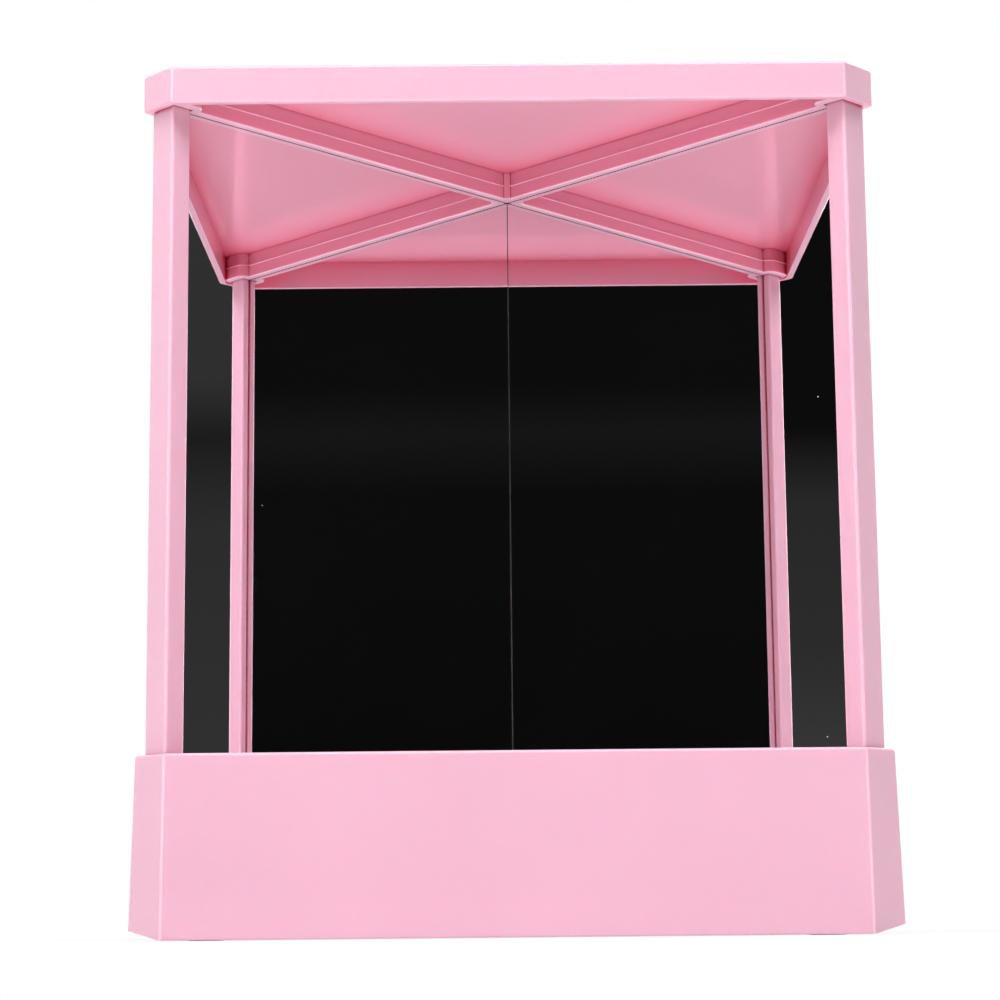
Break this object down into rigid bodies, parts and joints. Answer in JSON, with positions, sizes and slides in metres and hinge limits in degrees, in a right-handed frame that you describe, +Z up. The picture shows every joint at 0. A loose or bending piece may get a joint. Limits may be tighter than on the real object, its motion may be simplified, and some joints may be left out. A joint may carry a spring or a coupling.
{
  "type": "non-reversing mirror",
  "caption": "Tabletop non-reversing mirror: mirrors joined at a right angle in an open-fronted triangular frame, with a lid and a tall tapered base.",
  "frame": {"origin": "centre of the box round the object, at the table", "axes": "+Z up, the open front faces -Y, +X to the viewer's right"},
  "size_m": [0.199, 0.1094, 0.2307],
  "materials": {
    "case_plastic": "pale pink moulded plastic, glossy",
    "back_board": "pale pink sheet, satin",
    "mirror": "front-surface silvered glass",
    "foam": "black adhesive foam",
    "feet_rubber": "translucent pale rubber",
    "screw_steel": "plain zinc-plated steel"
  },
  "bodies": {
    "root": {"top_cover": "case_plastic", "top_rail_frame": "case_plastic", "left_post": "case_plastic", "right_post": "case_plastic", "rear_post": "case_plastic", "left_mirror": "mirror", "right_mirror": "mirror", "left_mirror_pads": "foam", "right_mirror_pads": "foam", "left_back_panel": "back_board", "right_back_panel": "back_board", "base_shell": "case_plastic", "base_deck": "case_plastic", "base_plate": "case_plastic", "left_foot": "feet_rubber", "right_foot": "feet_rubber", "rear_foot": "feet_rubber", "post_screws": "screw_steel", "base_screws": "screw_steel"}
  },
  "joints": []
}
